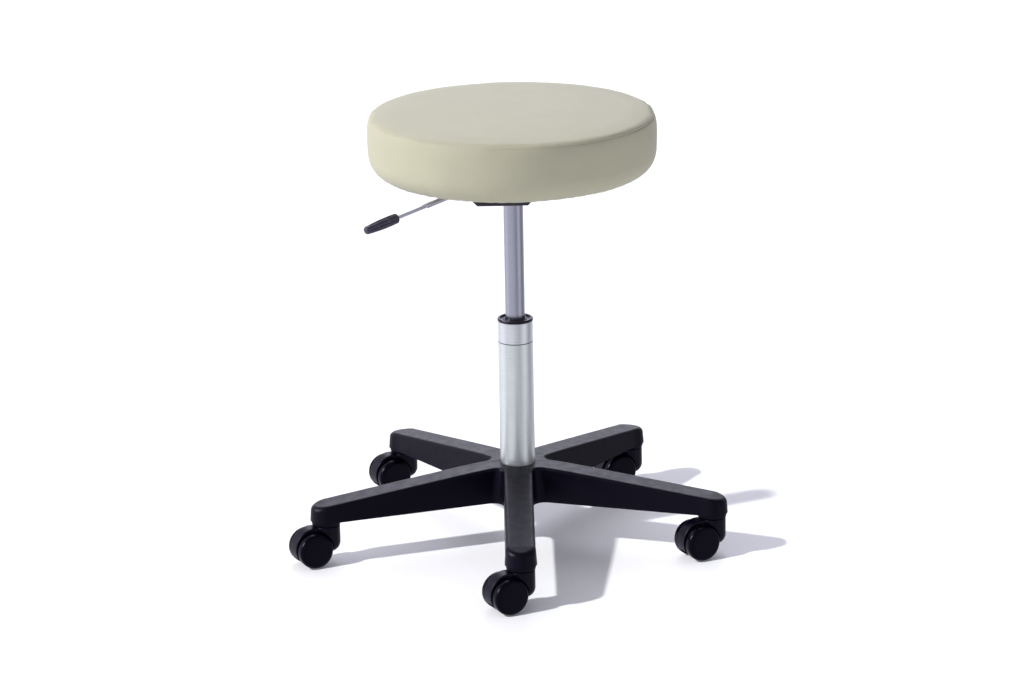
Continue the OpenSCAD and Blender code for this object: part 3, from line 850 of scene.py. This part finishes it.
def prism(outline, low, high):
    """An outline in X and Z pushed along Y from low to high."""
    count = len(outline)
    points = [(x, y, z) for y in (low, high) for x, z in outline]
    faces = [list(range(count)), list(range(count, 2 * count))]
    faces += [[i, (i + 1) % count, (i + 1) % count + count, i + count] for i in range(count)]
    return points, faces


def arc_points(x, y, radius, first, last, steps):
    """Points on an arc, with angles in degrees."""
    angles = [math.radians(first + (last - first) * i / steps) for i in range(steps + 1)]
    return [(x + radius * math.cos(a), y + radius * math.sin(a)) for a in angles]


def hood_mesh(hub, top):
    """The caster's body: a neck round the swivel axis and a hood between the wheels, moulded as one."""
    wheel_room, web_half, web_r, neck_r, neck_low, low_r = 26.8, 9.5, 15.0, 19.5, 17.0, 14.0
    hood = Vector((hub.x - 2, hub.z + 2))
    hood_r = top - 0.5 - hood.y
    lip = Vector((math.cos(math.radians(-25)), math.sin(math.radians(-25)))) * (wheel_room + 1.5) + hub.xz
    end = math.degrees(math.atan2(lip.y - hood.y, lip.x - hood.x))
    outline = arc_points(hood.x, hood.y, hood_r, end, 150, 40)
    outline += [(0, hub.z + 12), (0, hub.z - 4), (hub.x - 8, hub.z - 12)]
    outline += arc_points(hub.x, hub.z, web_r, -120, -45, 10)
    neck = soft_corners(
        [(0, neck_low, 0), (neck_r, neck_low, low_r), (neck_r, top, 1.2), (0, top, 0)], steps=12)
    shapes = [prism(outline, -web_half, web_half), revolve(neck, 96)]
    body = make_object("hood", *joined(shapes))
    rooms = []
    for side in (-1, 1):
        room = revolve([(0, 0), (wheel_room, 0), (wheel_room, 30), (0, 30)], 96)
        at = Matrix.Translation(hub + Vector((0, side * web_half, 0))) @ turn_about("X", -90 * side)
        rooms.append(placed(room, at))
    add_remesh(body, 0.75)
    keep_modified(body)
    combine(body, make_object("rooms", *joined(rooms)), "DIFFERENCE")
    add_remesh(body, 0.7)
    soften = body.modifiers.new("soften", "SMOOTH")
    soften.factor = 0.5
    soften.iterations = 5
    keep_modified(body)
    axle_bore = revolve([(0, -30), (AXLE_BORE_R, -30), (AXLE_BORE_R, 30), (0, 30)], 48)
    bores = [placed(axle_bore, Matrix.Translation(hub) @ turn_about("X", 90)),
             revolve([(0, top - 24), (STEM_BORE_R, top - 24), (STEM_BORE_R, top + 5), (0, top + 5)], 48)]
    combine(body, make_object("bores", *joined(bores)), "DIFFERENCE")
    body.data.materials.clear()
    body.data.materials.append(looks["caster_plastic"])
    shade_smooth(body, 50)
    mesh = body.data
    bpy.data.objects.remove(body)
    return mesh


def wheel_mesh(wheel_r):
    """A wheel about Z, with its outer face up: a full smooth face, a large rounded rim, hollow behind."""
    inner, outer, bore, hub_r, face, rim = 11.0, 24.0, AXLE_BORE_R, 8.0, 4.0, 4.0
    corners = [
        (0, outer - 4.4, 0), (bore, outer - 4.4, 0), (bore, inner, 0.4), (hub_r, inner, 0.6),
        (hub_r, outer - face, 1.5), (wheel_r - rim, outer - face, 2.0), (wheel_r - rim, inner, 0.8),
        (wheel_r, inner, 1.6), (wheel_r, outer, 5.6), (wheel_r - 11, outer + 0.25, 6.0), (0, outer + 0.35, 0)]
    points, faces = revolve(soft_corners(corners, steps=8), 128)
    wheel = make_object("wheel", points, faces, "wheel_nylon")
    shade_smooth(wheel, 40)
    mesh = wheel.data
    bpy.data.objects.remove(wheel)
    return mesh


# ---------------------------------------------------------------- release lever

def add_grip():
    """The fluted plastic grip on the lever's rod."""
    joint = next(j for j in frame["joints"] if j["name"] == "lever_pull")
    outward = Vector((joint["pos_m"][0], joint["pos_m"][1], 0)).normalized()
    slope, length, radius, rod_r = 7.5, 56.0, 7.5, 2.5
    reach = 271.0
    seat_low = node_box("seat_cover")[0].z
    start_x = (reach - length) / math.cos(math.radians(slope))
    flutes = 9

    def half_width(x):
        return radius * (0.62 + 0.38 * math.sin(math.pi * (0.30 + 0.60 * x / length)))

    stations = [0.0, 0.5, 1.2] + [2.4 + (length - 7.4) * i / 34 for i in range(35)] + [
        length - 4, length - 3, length - 2, length - 1.1, length - 0.5, length - 0.12]
    steps = 144
    points, rings = [], []

    def add_ring(x, radii):
        rings.append(list(range(len(points), len(points) + len(radii))))
        for i, r in enumerate(radii):
            angle = 2 * math.pi * i / len(radii)
            points.append((x, r * math.cos(angle), r * math.sin(angle)))

    add_ring(length - 7, [0.0])
    add_ring(length - 7, [rod_r + 0.02] * steps)
    add_ring(0.0, [rod_r + 0.02] * steps)
    for x in stations:
        width = half_width(min(x, length - 4))
        if x > length - 4.4:
            width *= math.sqrt(max(0.0, 1 - ((x - length + 4.4) / 4.45) ** 2)) * 0.45 + 0.55
        if x < 1.2:
            width -= 0.6 * (1 - x / 1.2) ** 2
        fade = min(1, max(0, (x - 0.8) / 2)) * min(1, max(0, (length - 4 - x) / 4))
        depth = 1.5 * fade ** 0.7
        add_ring(x, [width - depth * (1 - abs(math.sin(flutes * math.pi * i / steps))) for i in range(steps)])
    add_ring(length, [0.0])
    along = Matrix.Rotation(math.atan2(outward.y, outward.x), 4, "Z")
    tilt = Matrix.Rotation(math.radians(slope), 4, "Y")
    lever_z = seat_low + 2
    place = Matrix.Translation((0, 0, lever_z)) @ along @ tilt @ Matrix.Translation((start_x, 0, 0))
    shape = placed((points, grid_faces(rings, closed=False)), place)
    grip = make_object("lever_grip_fluted", *shape, "grip_plastic")
    finish_piece(grip, "lever", ["lever_grip"], sharp=50)


# ---------------------------------------------------------------- seat

SEAM_R = 201.6
SHOULDER_R = 9.0
SHOULDER_END = 22       # degrees: the shoulder still leans this much where it meets the side at the seam
RIM_Z = node_box("seat_cover")[1].z - 6
SEAM_Z = RIM_Z - SHOULDER_R * (1 - math.sin(math.radians(SHOULDER_END)))
SIDE_BULGE = 1.3
COVER_T = 1.5
FLAP_IN_R = 142.0       # where the cover ends, stapled under the board
UNDER_Z = 553           # about where the side has turned under
BACK_SEAM_DEPTH = 1.1   # the upright seam at the back of the side
SEGMENTS = 384


def seat_section():
    """The cover's outer half section, from the crown's middle to the flap's inner edge: (n, 2)."""
    low, high = node_box("seat_cover")
    crown = 6.0
    side_r, low_r = high.x, 33.0
    low_z = low.z
    board_z = node_box("seat_board")[0].z
    edge_x = SEAM_R - SHOULDER_R * math.cos(math.radians(SHOULDER_END))
    run = [(r, RIM_Z + crown * (1 - (r / edge_x) ** 2.2)) for r in np.linspace(0, edge_x, 40)]
    run += arc_points(edge_x, RIM_Z - SHOULDER_R, SHOULDER_R, 86, SHOULDER_END, 20)
    side_low = low_z + low_r
    for share in [0.008, 0.016, 0.024, 0.032, 0.04, 0.05, 0.065] + list(np.linspace(0.1, 1, 19)):
        upper = max(0, 1 - 2 * share) ** 2
        bulge = SIDE_BULGE * math.sin(math.pi * min(1, share * 1.05)) ** 0.8 if share < 0.95 else 0
        run.append((side_r + (SEAM_R - side_r) * upper + bulge * 0.35, SEAM_Z + (side_low - SEAM_Z) * share))
    turn_end = -90 - math.degrees(math.acos((low_z + low_r - board_z + COVER_T) / low_r))
    run += arc_points(side_r - low_r, low_z + low_r, low_r, 0, turn_end, 46)[1:]
    last_r = run[-1][0]
    run += [(r, board_z - COVER_T) for r in np.linspace(last_r, FLAP_IN_R, 10)[1:]]
    return np.array(run)


def section_normals(run):
    ahead = np.gradient(run, axis=0)
    out = np.stack([-ahead[:, 1], ahead[:, 0]], 1)
    out /= np.maximum(np.linalg.norm(out, axis=1), 1e-9)[:, None]
    flip = np.sum(out * (run - np.array([100.0, 590.0])), 1) < 0
    out[flip] *= -1
    return out


def simulate_cushion(run):
    """Inflates a slightly smaller closed cushion with Cloth and returns a search tree of its surface."""
    start_inset, voxel, travel_cap = 5.0, 6, 9
    inside = run - section_normals(run) * start_inset
    inside[0, 0] = 0
    profile = [tuple(p) for p in inside[::2]]
    board_z = node_box("seat_board")[0].z
    profile.append((0, board_z))
    cushion = make_object("cushion_sim", *revolve(profile, 96))
    add_remesh(cushion, voxel)
    keep_modified(cushion)
    held = cushion.vertex_groups.new(name="held")
    for v in cushion.data.vertices:
        radius, height = math.hypot(v.co.x, v.co.y) / MM, v.co.z / MM
        if height < board_z + 6 and radius < 160:
            held.add([v.index], 1.0, "REPLACE")
        elif abs(height - SEAM_Z) < 5 and radius > SEAM_R - 14:
            held.add([v.index], 0.55, "REPLACE")
    rest = np.array([v.co[:] for v in cushion.data.vertices])
    cloth = cushion.modifiers.new("cloth", "CLOTH")
    settings = cloth.settings
    settings.quality = 6
    settings.mass = 0.4
    settings.tension_stiffness = 25
    settings.compression_stiffness = 25
    settings.shear_stiffness = 8
    settings.bending_stiffness = 1.5
    settings.use_pressure = True
    settings.uniform_pressure_force = 4
    settings.vertex_group_mass = "held"
    settings.effector_weights.gravity = 0
    frames = 20
    cloth.point_cache.frame_start = 1
    cloth.point_cache.frame_end = frames
    for number in range(1, frames + 1):
        scene.frame_set(number)
    evaluated = cushion.evaluated_get(bpy.context.evaluated_depsgraph_get())
    moved = np.array([v.co[:] for v in evaluated.data.vertices])
    travel = moved - rest
    length = np.linalg.norm(travel, axis=1)
    travel *= np.minimum(1, travel_cap * MM / np.maximum(length, 1e-9))[:, None]
    cushion.modifiers.clear()
    for v, co in zip(cushion.data.vertices, rest + travel):
        v.co = co
    scene.frame_set(1)
    tree = BVHTree.FromObject(cushion, bpy.context.evaluated_depsgraph_get())
    bpy.data.objects.remove(cushion)
    return tree


def cushion_offsets(tree, run, out, angles):
    """How far the simulated surface stands off the section, by ring and angle, in millimetres."""
    reach = 16.0
    offsets = np.zeros((len(run), len(angles)))
    for i, ((r, z), (n_r, n_z)) in enumerate(zip(run, out)):
        for j, angle in enumerate(angles):
            c, s = math.cos(angle), math.sin(angle)
            ray = Vector((n_r * c, n_r * s, n_z))
            start = Vector((r * c, r * s, z)) - ray * reach
            hit = tree.ray_cast(start * MM, ray, 2 * reach * MM)
            offsets[i, j] = hit[3] / MM - reach if hit[3] is not None else 0
    return offsets


def smoothed(field, passes):
    """A field over rings and angles, averaged with its neighbours."""
    for _ in range(passes):
        field = (np.roll(field, 1, 1) + np.roll(field, -1, 1) + 2 * field) / 4
        padded = np.vstack([field[:1], field, field[-1:]])
        field = (padded[:-2] + padded[2:] + 2 * padded[1:-1]) / 4
    return field


def wave(angle, number, phase):
    return math.sin(number * angle + phase)


def gathers(angle):
    """Uneven folds round the lower edge, from -1 to 1."""
    bend = 0.35 * wave(angle, 7, 0.4) + 0.22 * wave(angle, 11, 2.1)
    return 0.6 * wave(angle, 61, 1.3 + 2 * bend) + 0.4 * wave(angle, 83, 0.2 + 3 * bend)


def seam_depth(angle):
    """The seam is drawn in hard at the right-hand front, and lies almost flush elsewhere."""
    away = math.remainder(angle - math.radians(-18), 2 * math.pi) / math.radians(52)
    return 0.22 + 1.25 * math.exp(-away ** 2) + 0.08 * wave(angle, 5, 1.0)


def cover_details(run, angles):
    """Seam, puckers, gathers and soft unevenness of the vinyl, in millimetres outwards."""
    field = np.zeros((len(run), len(angles)))
    travelled = np.concatenate([[0], np.cumsum(np.linalg.norm(np.diff(run, axis=0), axis=1))])
    seam_at = travelled[int(np.argmin(np.abs(run[:, 1] - SEAM_Z) + (run[:, 0] < SEAM_R - 4) * 99))]
    under_from = travelled[int(np.argmin(np.abs(run[:, 1] - UNDER_Z)))]
    for i, (r, z) in enumerate(run):
        from_seam = travelled[i] - seam_at
        pull = math.exp(-abs(from_seam) / 7)
        under = min(1, max(0, (travelled[i] - under_from + 26) / 26)) if travelled[i] < under_from else 1
        flat = min(1, max(0, (r - 150) / 14)) if travelled[i] >= under_from - 8 else 1
        for j, angle in enumerate(angles):
            depth = seam_depth(angle)
            spot = Vector((r * math.cos(angle) / 55, r * math.sin(angle) / 55, z / 40))
            value = 0.45 * noise.noise(spot) * (1 if i > 2 else 0.5)
            value += 0.16 * pull * noise.noise(Vector((angle * 34, 0.4 * from_seam, 7)))
            value -= depth * math.exp(-(from_seam / 0.75) ** 2)
            value -= 0.12 * depth * math.exp(-(from_seam / 3.2) ** 2)
            value += 0.35 * under * flat * gathers(angle)
            if z < SEAM_Z - 2 and z > 560 and r > 190:
                value -= BACK_SEAM_DEPTH * math.exp(-(((angle - math.pi / 2) * 203) / 0.9) ** 2)
            field[i, j] = value
    return field


def add_seat():
    run = seat_section()
    out = section_normals(run)
    angles = [2 * math.pi * (j + 0.5) / SEGMENTS for j in range(SEGMENTS)]
    offsets = np.zeros((len(run), SEGMENTS))
    tree = simulate_cushion(run)
    measured = smoothed(cushion_offsets(tree, run, out, angles), 4)
    held_at_flap = np.clip((run[:, 0] - 150) / 12, 0, 1) * (run[:, 1] < 575) + (run[:, 1] >= 575)
    lift = measured.mean(1) - measured.mean()
    variation = measured - measured.mean(1)[:, None]
    offsets = (np.clip(lift, -1.2, 1.2)[:, None] + np.clip(variation, -1.0, 1.0)) * held_at_flap[:, None]
    offsets = offsets + cover_details(run, angles)
    points, rings = [], []
    for i, ((r, z), (n_r, n_z)) in enumerate(zip(run, out)):
        if i == 0:
            rings.append([len(points)])
            points.append((0, 0, z + float(offsets[0].mean())))
            continue
        rings.append(list(range(len(points), len(points) + SEGMENTS)))
        for j, angle in enumerate(angles):
            push = float(offsets[i, j])
            ragged = 1.2 * noise.noise(Vector((angle * 9, 3, 1))) if i == len(run) - 1 else 0
            radius = r + n_r * push + ragged
            points.append((radius * math.cos(angle), radius * math.sin(angle), z + n_z * push))
    cover = make_object("seat_cover_vinyl", points, grid_faces(rings, closed=False), "vinyl")
    thick = cover.modifiers.new("thickness", "SOLIDIFY")
    thick.thickness = COVER_T * 0.9 * MM
    thick.offset = -1
    keep_modified(cover)
    finish_piece(cover, "seat", ["seat_cover"], sharp=100)
    add_foam(run, out)


def add_foam(run, out):
    """The foam inside the cover: the same section, a little smaller, down to the board."""
    board_low, board_high = node_box("seat_board")
    inside = run - out * (COVER_T + 1.9)
    keep = [tuple(p) for p in inside[::2] if p[1] > board_low.z + 0.1 or p[0] > board_high.x + 1]
    keep[0] = (0, keep[0][1])
    over_board, past_board = board_high.z + 1.6, board_high.x + 0.1
    corner = [(past_board, keep[-1][1]), (past_board, over_board), (0, over_board)]
    foam = make_object("seat_foam_core", *revolve(keep + corner, 128), "foam")
    finish_piece(foam, "seat", ["seat_foam"], sharp=50)


# ---------------------------------------------------------------- the scene

scene.view_settings.view_transform = "Standard"
add_camera()
add_world()
floor = add_floor(floor_look())

dress_cad_nodes()
star = Star()
add_base(star)
add_column()
add_casters(star)
add_grip()
add_seat()
light_studio(floor)
